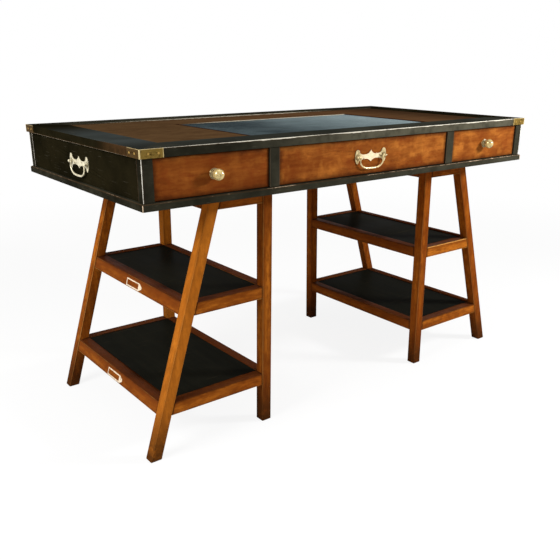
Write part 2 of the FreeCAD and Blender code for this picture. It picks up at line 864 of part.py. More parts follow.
def trestle(name, side):
    for end, end_name in ((-1, "front"), (1, "rear")):
        y = trestle_front if end < 0 else trestle_back - leg
        raked_leg = band(side, zero, trestle_height, raked_inner, raked_outer)
        upright_leg = band(side, zero, trestle_height, upright_inner, upright_outer)
        for kind, corners in (("raked", raked_leg), ("upright", upright_leg)):
            label = f"{name}_leg_{kind}_{end_name}"
            keep(prism_y(label, y, corners, leg), label)
    rails(f"{name}_top_rails", side, trestle_height - named("top_rail_height"), trestle_height)
    frames = []
    for level, rail_top_z in (("upper", named("upper_rail_top")), ("lower", named("lower_rail_top"))):
        rails(f"{name}_{level}_rails", side, rail_top_z - named("shelf_rail_height"), rail_top_z)
        high_z = rail_top_z - named("shelf_drop")
        keep(prism_y(f"{name}_{level}_shelf", behind_leg,
                     band(side, high_z - named("shelf_thick"), high_z, upright_outer, raked_inner),
                     between_legs), f"{name}_{level}_shelf")
        frames.append(label_frame(f"{name}_{level}_label", side, rail_top_z))
    keep(compound(f"{name}_label_frames", frames), f"{name}_label_frames")


trestle("left", -1)
trestle("right", 1)

doc.recompute()
faults = [thing.Name for thing in doc.Objects if {"Invalid", "Error"} & set(thing.State)]
for piece in pieces:
    if piece.Shape.isNull() or not piece.Shape.isValid() or not piece.Shape.Solids:
        faults.append(piece.Label)
if faults:
    raise RuntimeError(f"not sound: {faults}")

os.makedirs("parts", exist_ok=True)
for piece in pieces:
    piece.Shape.exportStep(f"parts/{piece.Label}.step")
print(f"{len(pieces)} pieces, {sum(len(piece.Shape.Solids) for piece in pieces)} solids")
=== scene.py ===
import functools
import math

import bmesh
import bpy
from mathutils import Matrix, Vector


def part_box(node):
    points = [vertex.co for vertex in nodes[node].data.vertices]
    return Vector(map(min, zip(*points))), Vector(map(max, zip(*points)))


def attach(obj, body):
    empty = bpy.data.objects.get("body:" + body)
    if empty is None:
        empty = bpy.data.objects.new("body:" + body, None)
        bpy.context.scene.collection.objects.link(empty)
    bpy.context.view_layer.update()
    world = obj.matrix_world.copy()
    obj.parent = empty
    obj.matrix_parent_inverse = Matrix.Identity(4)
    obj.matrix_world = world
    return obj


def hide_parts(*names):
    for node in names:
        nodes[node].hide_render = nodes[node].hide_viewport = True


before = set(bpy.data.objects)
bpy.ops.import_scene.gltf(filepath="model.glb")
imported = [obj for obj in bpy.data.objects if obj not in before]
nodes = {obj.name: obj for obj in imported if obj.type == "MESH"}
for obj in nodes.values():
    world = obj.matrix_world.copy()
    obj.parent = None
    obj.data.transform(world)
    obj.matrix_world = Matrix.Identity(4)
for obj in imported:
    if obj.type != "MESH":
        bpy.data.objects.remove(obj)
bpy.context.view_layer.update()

scene = bpy.context.scene


# the picture's viewpoint: metres and degrees
viewpoint = {
    "place": (-1.317931, -1.640237, 0.960383),
    "yaw": 38.151,
    "pitch": 19.504,
    "roll": 0.269,
    "lens": 43.853,
    "sensor": 36.0,
    "shift": (-0.00958, 0.03355),
}


def makeCamera(look):
    yaw, pitch, roll = (math.radians(look[turn]) for turn in ("yaw", "pitch", "roll"))
    ahead = Vector((math.sin(yaw) * math.cos(pitch), math.cos(yaw) * math.cos(pitch), -math.sin(pitch)))
    right = Vector((math.cos(yaw), -math.sin(yaw), 0))
    up = right.cross(ahead)
    across = right * math.cos(roll) + up * math.sin(roll)
    upward = up * math.cos(roll) - right * math.sin(roll)
    lens = bpy.data.cameras.new("viewpoint")
    lens.sensor_width = look["sensor"]
    lens.lens = look["lens"]
    lens.shift_x, lens.shift_y = look["shift"]
    holder = bpy.data.objects.new("viewpoint", lens)
    turned = Matrix((across, upward, -ahead)).transposed().to_4x4()
    holder.matrix_world = Matrix.Translation(look["place"]) @ turned
    scene.collection.objects.link(holder)
    scene.camera = holder


makeCamera(viewpoint)
print("camera set")


# a wrapped node socket: sums on it add Math nodes, and any other node comes from node()
class Paint:
    def __init__(self, tree, socket=None):
        self.tree = tree
        self.socket = socket

    def node(self, kind, settings, sockets, out=0):
        made = self.tree.nodes.new(kind)
        for name, value in settings.items():
            setattr(made, name, value)
        for name, value in sockets.items():
            if isinstance(value, Paint):
                self.tree.links.new(value.socket, made.inputs[name])
            else:
                made.inputs[name].default_value = value
        return Paint(self.tree, made.outputs[out] if len(made.outputs) else None)

    def sum(self, operation, *values):
        return self.node("ShaderNodeMath", {"operation": operation}, dict(enumerate(values)))

    def __add__(self, other):
        return self.sum("ADD", self, other)

    def __radd__(self, other):
        return self.sum("ADD", other, self)

    def __sub__(self, other):
        return self.sum("SUBTRACT", self, other)

    def __rsub__(self, other):
        return self.sum("SUBTRACT", other, self)

    def __mul__(self, other):
        return self.sum("MULTIPLY", self, other)

    def __rmul__(self, other):
        return self.sum("MULTIPLY", other, self)

    def __abs__(self):
        return self.sum("ABSOLUTE", self)

    def least(self, other):
        return self.sum("MINIMUM", self, other)

    def most(self, other):
        return self.sum("MAXIMUM", self, other)

    def ramp(self, low, high, full=1.0):       # smooth step from 0 at low to full at high
        return self.node("ShaderNodeMapRange", {"interpolation_type": "SMOOTHSTEP"},
                         {"Value": self, "From Min": low, "From Max": high, "To Max": full})

    def vector(self, operation, *values):
        return self.node("ShaderNodeVectorMath", {"operation": operation}, dict(enumerate(values)))

    def away(self, place, point):              # how far a place is from a point
        return self.node("ShaderNodeVectorMath", {"operation": "DISTANCE"}, {0: place, 1: point}, "Value")

    def mix(self, share, first, second):
        return self.node("ShaderNodeMix", {"data_type": "RGBA"}, {0: share, 6: first, 7: second}, 2)

    def noise(self, place, scale, detail, rough):   # scale is one number, or one for each axis
        if isinstance(scale, tuple):
            place, scale = self.vector("MULTIPLY", place, scale), 1.0
        return self.node("ShaderNodeTexNoise", {},
                         {"Vector": place, "Scale": scale, "Detail": detail, "Roughness": rough})

    def patches(self, place, scale, detail, rough, *step):   # a noise, put through a ramp
        return self.noise(place, scale, detail, rough).ramp(*step)

    def place(self):                           # a point of the piece, in the desk's own metres
        return self.node("ShaderNodeTexCoord", {}, {}, "Object")

    def split(self, place):
        return [self.node("ShaderNodeSeparateXYZ", {}, {0: place}, axis) for axis in range(3)]

    def surface(self, shown, rough, height, look):   # look has what is the same all over
        strength, depth = look["bump"]
        bump = self.node("ShaderNodeBump", {}, {"Strength": strength, "Distance": depth, "Height": height})
        skin = self.node("ShaderNodeBsdfPrincipled", {},
                         {"Base Color": shown, "Roughness": rough, "Normal": bump,
                          "Metallic": look.get("metal", 0.0), "Specular IOR Level": look["gloss"]})
        self.node("ShaderNodeOutputMaterial", {}, {"Surface": skin})


def newFinish(name):
    finish = bpy.data.materials.new(name)
    finish.use_nodes = True
    finish.node_tree.nodes.clear()
    return finish, Paint(finish.node_tree)


def tone(red, green, blue):                    # a colour as the screen shows it, 0 to 255
    linear = [c / 12.92 if c <= 0.04045 else ((c + 0.055) / 1.055) ** 2.4
              for c in (red / 255, green / 255, blue / 255)]
    return tuple(linear) + (1.0,)


edgeLook = {"weld": 0.00001, "sharp": 40.0}    # metres, and the least angle in degrees that counts as an edge


def dress(name, finish, edge=0.0, segments=2):
    holder = nodes[name]
    if not holder.material_slots:
        holder.data.materials.append(finish)
    for slot in holder.material_slots:
        slot.material = finish
    if edge:
        soften(holder, edge, segments)


def soften(holder, width, segments):           # a small round along the solid's sharp edges
    weld = holder.modifiers.new("weld", "WELD")
    weld.merge_threshold = edgeLook["weld"]
    bevel = holder.modifiers.new("round", "BEVEL")
    bevel.width = width
    bevel.segments = segments
    bevel.limit_method = "ANGLE"
    bevel.angle_limit = math.radians(edgeLook["sharp"])
    bevel.use_clamp_overlap = True
    holder.modifiers.new("shade", "WEIGHTED_NORMAL")


def joinRows(mesh, rows):                      # a face in each square of a grid of points
    for before, after in zip(rows, rows[1:]):
        for n in range(len(before) - 1):
            mesh.faces.new((before[n], before[n + 1], after[n + 1], after[n]))


def newObject(name, mesh, finish):
    data = bpy.data.meshes.new(name)
    mesh.to_mesh(data)
    mesh.free()
    data.materials.append(finish)
    made = bpy.data.objects.new(name, data)
    scene.collection.objects.link(made)
    return made


def newPiece(name, mesh, body, finish, stands):
    piece = newObject(name, mesh, finish)
    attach(piece, body)
    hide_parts(stands)
    return piece


def shadeSmooth(piece):
    for face in piece.data.polygons:
        face.use_smooth = True


# in all the looks below, lengths are in metres, gloss is the specular level and bump is (strength, depth)
# a ramp is (start, full) or (start, full, share)
# a noise is (scale, detail, roughness), followed by its ramp where it has one
honeyLook = {
    "dark": tone(104, 49, 11),
    "light": tone(192, 114, 34),
    "cloud": tone(138, 68, 15),
    "worn": tone(204, 146, 74),
    "pore": tone(48, 22, 8),
    "rough": 0.48,
    "gloss": 0.004,
    "mottle": 0.6,
    "figure": 0.45,
    "bump": (0.25, 0.0004),
    "rubEnd": (-0.0004, 0.0006),               # how softly a rubbed edge ends
}
fieldLook = {
    "dark": tone(60, 44, 27),
    "light": tone(94, 72, 46),
    "cloud": tone(72, 53, 32),
    "worn": tone(178, 170, 150),
    "pore": tone(26, 18, 11),
    "seam": tone(34, 14, 8),
    "russet": tone(92, 58, 38),
    "rough": 0.55,
    "gloss": 0.0,
    "mottle": 0.5,
    "figure": 0.45,
    "bump": (0.25, 0.0004),
    "edge": 0.0006,
}
carcaseLook = {
    "dark": tone(150, 108, 66),
    "light": tone(196, 156, 108),
    "cloud": tone(176, 130, 84),
    "pore": tone(96, 64, 38),
    "rough": 0.6,
    "gloss": 0.2,
    "mottle": 0.15,
    "figure": 0.45,
    "bump": (0.3, 0.0004),
    "edge": 0.001,
}
# the grain that they share: lines that run long on one axis, fine fibres, pores and cloudy figure
grainLook = {
    "shift": (1.31, 0.77, 2.03),               # moves the pattern on for each seed
    "long": 0.075,                             # the grain's scale along the board, as a share
    "mottleLong": 0.34,
    "bend": (2.6, 2.0, 0.5),
    "bendReach": 0.06,                         # how far the lines wander
    "lines": (46.0, 4.0, 0.6),
    "linesShown": (0.25, 0.75, 0.8),
    "linesLeast": 0.1,
    "streak": (150.0, 3.0, 0.6, 0.46, 0.64, 0.4),
    "fibre": (430.0, 3.0, 0.6),
    "fibreFrom": 0.3,
    "fibreShare": 0.5,
    "pores": (1100.0, 2.0, 0.5, 0.6, 0.74),
    "poreShare": 0.4,
    "cloud": (9.0, 3.0, 0.55, 0.38, 0.66),
    "mottle": (95.0, 4.0, 0.65, 0.4, 0.66),
    "burl": 0.6,                               # the darkest spots, as a share of the mottle
    "raised": (0.4, 0.6, 0.8),                 # lines, fibres and pores in the bump
    "roughened": (0.24, 0.08),                 # fibres and clouds in the roughness
}


def woodTone(paint, place, along, seed, look):
    grain = grainLook
    flow = [1.0, 1.0, 1.0]
    flow["xyz".index(along)] = grain["long"]
    start = paint.vector("ADD", place, tuple(seed * step for step in grain["shift"]))
    wander = (paint.noise(start, *grain["bend"]) - 0.5) * grain["bendReach"]
    long = paint.vector("MULTIPLY", paint.vector("ADD", start, wander), tuple(flow))
    lines = paint.noise(long, *grain["lines"])
    streak = paint.patches(long, *grain["streak"])
    fibre = paint.noise(long, *grain["fibre"])
    pores = paint.patches(long, *grain["pores"])
    cloud = paint.patches(start, *grain["cloud"])
    flow["xyz".index(along)] = grain["mottleLong"]
    mottle = paint.patches(paint.vector("MULTIPLY", start, tuple(flow)), *grain["mottle"])
    shown = paint.mix(lines.ramp(*grain["linesShown"]) + grain["linesLeast"], look["dark"], look["light"])
    shown = paint.mix(cloud * look["figure"], shown, look["cloud"])
    shown = paint.mix(mottle * look["mottle"], shown, look["dark"])
    shown = paint.mix(streak, shown, look["dark"])
    shown = paint.mix(mottle * cloud * (look["mottle"] * grain["burl"]), shown, look["pore"])
    shown = paint.mix((fibre - grain["fibreFrom"]).most(0.0) * grain["fibreShare"], shown, look["dark"])
    shown = paint.mix(pores * grain["poreShare"], shown, look["pore"])
    lineUp, fibreUp, poreDown = grain["raised"]
    height = lines * lineUp + fibre * fibreUp - pores * poreDown
    fibreRough, cloudRough = grain["roughened"]
    rough = look["rough"] + (fibre - 0.5) * fibreRough + (cloud - 0.5) * cloudRough
    return shown, rough, height


# the legs: they lean, so their edges are found on a sheared box
legLook = {
    "width": {"raked": 0.0305, "upright": 0.029},
    "edge": 0.0018,
    "rub": (46.0, 4.0, 0.65),
    "patch": (5.0, 2.0, 0.5, 0.3, 0.62, 0.6),
    "patchLeast": 0.4,
    "wear": 0.0038,                            # width of the rubbed edges
    "wornShare": 0.3,
    "aged": (0.0085, 0.0006, 0.85),            # the browned edges
    "agedRub": (0.25, 0.6),
    "shadeUnderCase": (0.48, 0.64, 0.35),               # painted shade under the case
    "below": (0.34, 0.06, 0.5),                # and towards the floor
    "soil": (0.15, 0.0),                       # dirt on the feet
    "soilRub": (0.1, 0.55),
    "soilShare": 0.85,
    "soilRough": 0.2,
    "foot": tone(50, 28, 12),
    "red": tone(104, 44, 8),
    "pale": tone(198, 120, 36),
    "brown": tone(80, 36, 11),
    "stainAndShade": {"left_leg_raked_front": ("pale", 0.3), "left_leg_raked_rear": ("brown", 0.1),
             "left_leg_upright_front": ("brown", 0.25), "left_leg_upright_rear": ("pale", 0.3)},
    "otherStainAndShade": ("red", 0.35),
}


def legFinish(name, kind, side, seed):
    finish, paint = newFinish(name + "_wood")
    place = paint.place()
    x, y, z = paint.split(place)
    low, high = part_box(name)
    half = legLook["width"][kind] / 2
    foot = low.x + half if side < 0 else high.x - half
    top = high.x - half if side < 0 else low.x + half
    middle = z * ((top - foot) / high.z) + foot
    edge = (half - abs(x - middle)).most((y - low.y).least(high.y - y))
    shown, rough, height = woodTone(paint, place, "z", seed, honeyLook)
    rub = paint.noise(place, *legLook["rub"])
    patch = paint.patches(place, *legLook["patch"]) + legLook["patchLeast"]
    worn = (rub * patch * legLook["wear"] - edge).ramp(*honeyLook["rubEnd"])
    aged = edge.ramp(*legLook["aged"]) * rub.ramp(*legLook["agedRub"])
    soil = z.ramp(*legLook["soil"]) * rub.ramp(*legLook["soilRub"])
    shown = paint.mix(aged, shown, legLook["brown"])
    # painted shade under the case, and darker towards the floor
    shown = paint.mix(z.ramp(*legLook["shadeUnderCase"]) + z.ramp(*legLook["below"]), shown, legLook["brown"])
    shown = paint.mix(worn * legLook["wornShare"], shown, honeyLook["worn"])
    stainAndShade, share = legLook["stainAndShade"].get(name, legLook["otherStainAndShade"])   # each leg took the stain in its own way; these tints also paint light and shade onto the legs
    shown = paint.mix(share, shown, legLook[stainAndShade])
    shown = paint.mix(soil * legLook["soilShare"], shown, legLook["foot"])
    paint.surface(shown, rough + soil * legLook["soilRough"], height, honeyLook)
    dress(name, finish, legLook["edge"])


seed = 1
for sideName, side in (("left", -1), ("right", 1)):
    for kind in ("raked", "upright"):
        for end in ("front", "rear"):
            legFinish(f"{sideName}_leg_{kind}_{end}", kind, side, seed)
            seed += 1
print("legs finished")


# rails: the front and back ones run along X, the side ones along Y
railLook = {
    "edge": 0.0014,
    "half": 0.2515,                            # half the length of the side rails
    "turn": (-0.0002, 0.0002),                 # past it, the grain turns
    "upright": (0.3265, 0.012346),             # where the legs' inner faces are at the floor, and their lean
    "raked": (0.64125, 0.306327),
    "rub": (40.0, 4.0, 0.6),
    "patch": (6.0, 2.0, 0.5, 0.3, 0.62),
    "wear": 0.0030,                            # width of the rubbed edges
    "wornShare": 0.4,
    "dirt": (0.006, 0.0006),                   # dark lines at joints and edges
    "dirtRub": (0.25, 0.6),
    "jointShare": 0.75,
    "edgeShare": 0.6,
    "top": (0.0016, 0.0003),                   # painted shade on the upper faces, from the top down
    "topShadeShare": 0.8,
    "glintedRails": "right_upper_rails",             # these get a painted highlight along the front top edge
    "glintEdge": (0.003, 0.0014, 0.8),
    "glintBreaks": (0.2, 0.5),
    "darkFrom": 0.35,                          # share of the height from which a rail darkens
    "darkLeast": 0.6,
    "darkMore": 0.3,
    "fronts": {"left": 0.6, "right": 0.92},    # how little the front rails darkened
    "caseShadow": 0.45,
    "crown": tone(70, 34, 14),
    "aged": tone(96, 46, 14),
    "joint": tone(36, 16, 7),
}


def railFinish(name, seed):
    finish, paint = newFinish(name + "_wood")
    place = paint.place()
    x, y, z = paint.split(place)
    low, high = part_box(name)
    tall = high.z - low.z
    beside = abs(y - (low.y + high.y) / 2) - railLook["half"]
    ends = beside.ramp(*railLook["turn"])      # 1 on the front and back rails
    shownX, _, heightX = woodTone(paint, place, "x", seed, honeyLook)
    shownY, rough, heightY = woodTone(paint, place, "y", seed, honeyLook)
    shown = paint.mix(ends, shownY, shownX)
    height = heightY + (heightX - heightY) * ends
    rub = paint.noise(place, *railLook["rub"])
    patch = paint.patches(place, *railLook["patch"])
    legs = [abs(abs(x) + z * lean - start) for start, lean in (railLook["upright"], railLook["raked"])]
    seam = abs(beside) * (1 - ends) + legs[0].least(legs[1]) * ends
    joint = seam.ramp(*railLook["dirt"])
    crown = (high.z - z).ramp(*railLook["top"])
    gap = (z - low.z).least(high.z - z)
    worn = (rub * patch * railLook["wear"] - gap).ramp(*honeyLook["rubEnd"]) * (1 - crown)
    spared = ends * railLook["fronts"][name.split("_")[0]]
    dark = (z - low.z).ramp(tall * railLook["darkFrom"], tall, railLook["darkMore"]) + railLook["darkLeast"]
    shown = paint.mix(dark * (1 - spared), shown, railLook["aged"])
    if "top" in name:                          # under the case: a painted shadow of the case on the top rails
        shown = paint.mix(railLook["caseShadow"], shown, railLook["aged"])
    dirt = gap.ramp(*railLook["dirt"]) * rub.ramp(*railLook["dirtRub"])
    shown = paint.mix(dirt * railLook["edgeShare"], shown, railLook["joint"])
    shown = paint.mix(worn * railLook["wornShare"], shown, honeyLook["worn"])
    # painted shade on the rails' upper faces
    shown = paint.mix(crown * railLook["topShadeShare"], shown, railLook["crown"])
    if name == railLook["glintedRails"]:
        # a painted highlight along the rail's top front edge
        bright = (y - low.y).most(high.z - z).ramp(*railLook["glintEdge"]) * rub.ramp(*railLook["glintBreaks"])
        shown = paint.mix(bright, shown, honeyLook["worn"])
    shown = paint.mix(joint * railLook["jointShare"], shown, railLook["joint"])
    paint.surface(shown, rough, height, honeyLook)
    dress(name, finish, railLook["edge"])


for sideName in ("left", "right"):
    for level in ("top", "upper", "lower"):
        railFinish(f"{sideName}_{level}_rails", seed)
        seed += 1
print("rails finished")


# drawer fronts: figured wood, burnished dark towards the edges; the left front is painted darker all over as
# shade
frontLook = {
    "dark": tone(120, 60, 19),
    "light": tone(184, 114, 46),
    "cloud": tone(134, 66, 18),
    "pore": tone(58, 26, 8),
    "rough": 0.42,
    "gloss": 0.012,
    "mottle": 0.55,
    "figure": 0.5,
    "bump": (0.2, 0.0003),
    "edge": 0.0014,
    "rub": (22.0, 4.0, 0.6),
    "rim": (0.014, 0.0),                       # the burnt edges, and how far they waver
    "waver": 0.02,
    "rimShare": 0.62,
    "rimRough": 0.1,
    "shift": (0.37, 0.0, 0.19),                # moves the figure on for each seed
    "flame": ((7.0, 1.0, 16.0), 4.0, 0.6),
    "flameGold": (0.5, 0.68, 0.55),
    "flameDeep": (0.58, 0.34, 0.45),
    "blotch": ((24.0, 1.0, 20.0), 3.0, 0.6),
    "blotchRed": (0.52, 0.74, 0.42),
    "blotchGold": (0.48, 0.28),
    "curl": ((34.0, 1.0, 8.0), 3.0, 0.5, 0.36, 0.7, 0.24),
    "foot": (0.05, 0.0),                       # the darker strip at the bottom
    "burnt": tone(46, 20, 7),
    "deep": tone(90, 38, 10),
    "gold": tone(190, 120, 48),
    "red": tone(112, 44, 14),
    "depth": {"drawer_left_front": 0.85, "drawer_centre_front": 0.0, "drawer_right_front": 0.04},
    "shadeShare": 0.38,                         # painted shade: how much darker a front of full depth is all over
    "goldShare": (0.36, 0.24),                 # of a pale front's blotches, and how much less on a deep one
    "footShare": (0.1, 0.4),                   # of a pale front's strip, and how much more on a deep one
}


def frontFinish(name, seed):
    finish, paint = newFinish(name + "_wood")
    place = paint.place()
    x, _, z = paint.split(place)
    low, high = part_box(name)
    shown, rough, height = woodTone(paint, place, "x", seed, frontLook)
    gap = (x - low.x).least(high.x - x).least((z - low.z).least(high.z - z))
    rub = paint.noise(place, *frontLook["rub"])
    start = paint.vector("ADD", place, tuple(seed * step for step in frontLook["shift"]))
    flame = paint.noise(start, *frontLook["flame"])
    blotch = paint.noise(start, *frontLook["blotch"])
    curl = paint.patches(start, *frontLook["curl"])
    burnt = (gap + (rub - 0.5) * frontLook["waver"]).ramp(*frontLook["rim"])
    foot = (z - low.z).ramp(*frontLook["foot"])
    # depth paints shade onto a front, most on the left one
    depth = frontLook["depth"][name]
    goldShare, goldLess = frontLook["goldShare"]
    footShare, footMore = frontLook["footShare"]
    shown = paint.mix(flame.ramp(*frontLook["flameGold"]) * (1 - depth), shown, frontLook["gold"])
    deepenedAndShaded = flame.ramp(*frontLook["flameDeep"]) + depth * frontLook["shadeShare"]
    shown = paint.mix(deepenedAndShaded, shown, frontLook["deep"])
    shown = paint.mix(blotch.ramp(*frontLook["blotchRed"]), shown, frontLook["red"])
    gilded = blotch.ramp(*frontLook["blotchGold"], goldShare - depth * goldLess)
    shown = paint.mix(gilded, shown, frontLook["gold"])
    shown = paint.mix(curl, shown, frontLook["deep"])
    shown = paint.mix(foot * (depth * footMore + footShare), shown, frontLook["deep"])
    shown = paint.mix(burnt * frontLook["rimShare"], shown, frontLook["burnt"])
    paint.surface(shown, rough + burnt * frontLook["rimRough"], height, frontLook)
    dress(name, finish, frontLook["edge"])


def plainWood(name, along, seed, look, edge=0.0):
    finish, paint = newFinish(name + "_wood")
    shown, rough, height = woodTone(paint, paint.place(), along, seed, look)
    paint.surface(shown, rough, height, look)
    dress(name, finish, edge)


for drawer in ("drawer_left", "drawer_centre", "drawer_right"):
    frontFinish(drawer + "_front", seed)
    plainWood(drawer + "_box", "y", seed + 1, carcaseLook, carcaseLook["edge"])
    plainWood(drawer + "_bottom", "x", seed + 2, carcaseLook)
    seed += 3
plainWood("bottom_board", "x", seed, carcaseLook)
plainWood("drawer_guides", "y", seed + 1, carcaseLook)
print("drawers finished")


# black lacquer, rubbed through to pale wood along some edges
lacquerLook = {
    "deep": tone(28, 27, 20),
    "haze": tone(50, 48, 38),
    "under": tone(70, 48, 28),
    "slate": tone(58, 63, 62),
    "paleSheen": tone(104, 100, 84),
    "rough": 0.5,
    "gloss": 0.002,
    "bump": (0.15, 0.0004),
    "rub": (55.0, 4.0, 0.62),
    "patch": (4.5, 2.0, 0.5, 0.28, 0.6, 0.7),
    "patchLeast": 0.3,
    "fadeOut": 0.2,                            # length in which a rubbed edge ends
    "worn": (-0.0003, 0.0006),                 # how softly the bare wood ends, and the brown beside it
    "brown": (-0.0028, 0.0, 0.4),
    "cloud": (6.0, 5.0, 0.6, 0.35, 0.7),
    "marks": ((40.0, 14.0, 620.0), 3.0, 0.55, 0.64, 0.76),
    "fine": (240.0, 3.0, 0.6),
    "face": (0.0016, 0.0007),                  # how near a face its stain stays
    "stain": (28.0, 4.0, 0.6, 0.3, 0.62, 0.6),
    "stainLeast": 0.4,
    "upper": (-0.0009, -0.0002),               # painted sheen on the border's upper face, most of all towards the rear
    "uneven": (5.0, 3.0, 0.5, 0.2, 0.6, 0.5),
    "unevenLeast": 0.5,
    "slateRear": (0.26, -0.12),
    "slateFront": (-0.14, -0.31, 0.7),
    "raised": (0.2, 0.5, 0.6),                 # clouds, fine texture and bare wood in the bump
    "roughened": (0.16, 0.2),                  # clouds and bare wood in the roughness
}
slabLook = {**lacquerLook, "gloss": 0.0}
# a darker, warmer copy of the lacquer for the end panels, end faces and side rails: painted shade
shadedEndLook = {**slabLook, "deep": tone(15, 13, 6), "haze": tone(27, 23, 12)}
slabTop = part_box("top_rail_front")[1].z


# lines: two axes, where an edge lies on them, and its wear; the result is above 0 where one is bare
def bareEdges(axes, rub, lines):
    strips = [rub * wear - abs(axes[one] - oneAt).most(abs(axes[two] - twoAt))
              for one, oneAt, two, twoAt, wear in lines]
    return functools.reduce(Paint.most, strips)


# fade: axis, start, full, end
# stains, painted sheen and painted shade, on a face and its twin: the face's axis and place, axis, start,
# full, strength, colour
def lacquerFinish(name, look, pale, lines, scratch, stainsAndShading=(), fade=None, slate=0.0):
    finish, paint = newFinish(name + "_lacquer")
    place = paint.place()
    axes = paint.split(place)
    rub = paint.noise(place, *look["rub"]) * (paint.patches(place, *look["patch"]) + look["patchLeast"])
    if fade:
        axis, start, full, end = fade
        rub = rub * axes[axis].ramp(start, full) * axes[axis].ramp(end, end - look["fadeOut"])
    bare = bareEdges(axes, rub, lines)
    worn = bare.ramp(*look["worn"])
    cloud = paint.patches(place, *look["cloud"])
    marks = paint.patches(place, *look["marks"])
    shown = paint.mix(cloud, look["deep"], look["haze"])
    # a painted sheen on the border's upper face
    if slate:
        uneven = paint.patches(place, *look["uneven"]) + look["unevenLeast"]
        band = axes[1].ramp(*look["slateRear"]) * (1 - axes[1].ramp(*look["slateFront"]))
        sheened = (axes[2] - slabTop).ramp(*look["upper"], slate) * uneven * band
        shown = paint.mix(sheened, shown, look["slate"])
    # real stains, a painted sheen on front faces and painted shade on end faces
    for faceAxis, faceAt, axis, start, full, strength, colour in stainsAndShading:
        face = abs(abs(axes[faceAxis]) - abs(faceAt)).ramp(*look["face"])
        patchy = paint.patches(place, *look["stain"]) + look["stainLeast"]
        shown = paint.mix(axes[axis].ramp(start, full, strength) * patchy * face, shown, colour)
    shown = paint.mix(marks * scratch, shown, pale)
    shown = paint.mix(bare.ramp(*look["brown"]), shown, look["under"])
    shown = paint.mix(worn, shown, pale)
    cloudRough, wornRough = look["roughened"]
    rough = look["rough"] + (cloud - 0.5) * cloudRough + worn * wornRough
    cloudUp, fineUp, wornDown = look["raised"]
    height = cloud * cloudUp + paint.noise(place, *look["fine"]) * fineUp - worn * wornDown
    paint.surface(shown, rough, height, look)
    return finish


caseLook = {
    "slabPale": tone(168, 160, 142),
    "frontPale": tone(206, 200, 184),
    "postPale": tone(214, 210, 198),
    "plinthPale": tone(190, 168, 142),
    "edge": 0.0012,
    "postDepth": 0.022,                        # where the end panel steps in
    "slabScratch": 0.03,
    "postScratch": 0.05,
    "panelScratch": 0.12,
    "dividerScratch": 0.08,
    "plinthScratch": 0.1,
}
topLow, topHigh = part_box("top_rail_front")[0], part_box("top_rail_back")[1]
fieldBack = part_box("top_field")[1].y
slabLines = {
    "front": ((1, topLow.y, 2, topHigh.z, 0.0052),),
    # the back lines: wear, and along the field's back edge also a painted highlight
    "back": ((1, topHigh.y, 2, topHigh.z, 0.0022), (1, fieldBack, 2, topHigh.z, 0.0034)),
    "left": ((0, topLow.x, 2, topLow.z, 0.0007),),
    "right": ((0, topHigh.x, 2, topHigh.z, 0.0024), (0, topHigh.x, 2, topLow.z, 0.0014)),
}
slabStainsAndSheen = {
    "left": ((0, topLow.x, 1, -0.10, -0.27, 0.8, lacquerLook["under"]),),
    # on the front, a painted sheen, lighter towards the right
    "front": ((1, topLow.y, 0, -0.55, 0.05, 0.47, lacquerLook["paleSheen"]),),
}
slabFade = {"front": (0, -0.8, -0.2, 0.72), "back": (0, -0.6, -0.2, 0.42)}
slabTopSheen = {"front": 0.6, "left": 0.9}
for rail, lines in slabLines.items():
    name = "top_rail_" + rail
    # the side rails take the darker copy, painted shade
    look = shadedEndLook if rail in ("left", "right") else slabLook
    pale = caseLook["frontPale" if rail == "front" else "slabPale"]
    finish = lacquerFinish(name, look, pale, lines, caseLook["slabScratch"], slabStainsAndSheen.get(rail, ()),
                           slabFade.get(rail), slabTopSheen.get(rail, 0.0))
    dress(name, finish, caseLook["edge"])

postLow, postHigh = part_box("corner_posts")
stepBack = caseLook["postDepth"]
postLines = ((0, postLow.x, 1, postLow.y, 0.0029), (0, postHigh.x, 1, postLow.y, 0.0036),
             (0, postLow.x, 1, postHigh.y, 0.0036), (0, postHigh.x, 1, postHigh.y, 0.0036),
             (0, postLow.x, 1, postHigh.y - stepBack, 0.0009),
             (0, postHigh.x, 1, postHigh.y - stepBack, 0.0020),
             (0, postLow.x, 1, postLow.y + stepBack, 0.0008))
# painted shade on the end faces, and a faint painted sheen on the front towards the right
postShading = ((0, postLow.x, 2, 0.0, 0.1, 0.8, shadedEndLook["deep"]),
              (1, postLow.y, 0, 0.0, 0.1, 0.08, lacquerLook["paleSheen"]))
finish = lacquerFinish("corner_posts", lacquerLook, caseLook["postPale"], postLines,
                       caseLook["postScratch"], postShading)
dress("corner_posts", finish, caseLook["edge"])
for name in ("end_panel_left", "end_panel_right", "back_panel"):
    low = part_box(name)[0]
    edges = ((1, low.y, 2, low.z, 0.0006),)
    finish = lacquerFinish(name, shadedEndLook, caseLook["slabPale"], edges, caseLook["panelScratch"])
    dress(name, finish, caseLook["edge"])
for name in ("divider_left", "divider_right"):
    low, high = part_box(name)
    edges = ((0, low.x, 1, low.y, 0.0005), (0, high.x, 1, low.y, 0.0005))
    # a painted sheen on the divider's front
    dividerSheen = ((1, low.y, 2, 0.0, 0.1, 0.14, lacquerLook["paleSheen"]),)
    finish = lacquerFinish(name, lacquerLook, caseLook["slabPale"], edges, caseLook["dividerScratch"], dividerSheen)
    dress(name, finish, caseLook["edge"])
print("case finished")


# the plinth: a strip with a rounded upper edge, mitred at the corners; (inset, height) of its section
plinthLook = {
    "section": ((0.0, 0.0005), (0.0, 0.0125), (0.0003, 0.0142), (0.0012, 0.0156), (0.0026, 0.0166),
                (0.0044, 0.0170), (0.0240, 0.0170), (0.0240, 0.0), (0.0005, 0.0)),
}


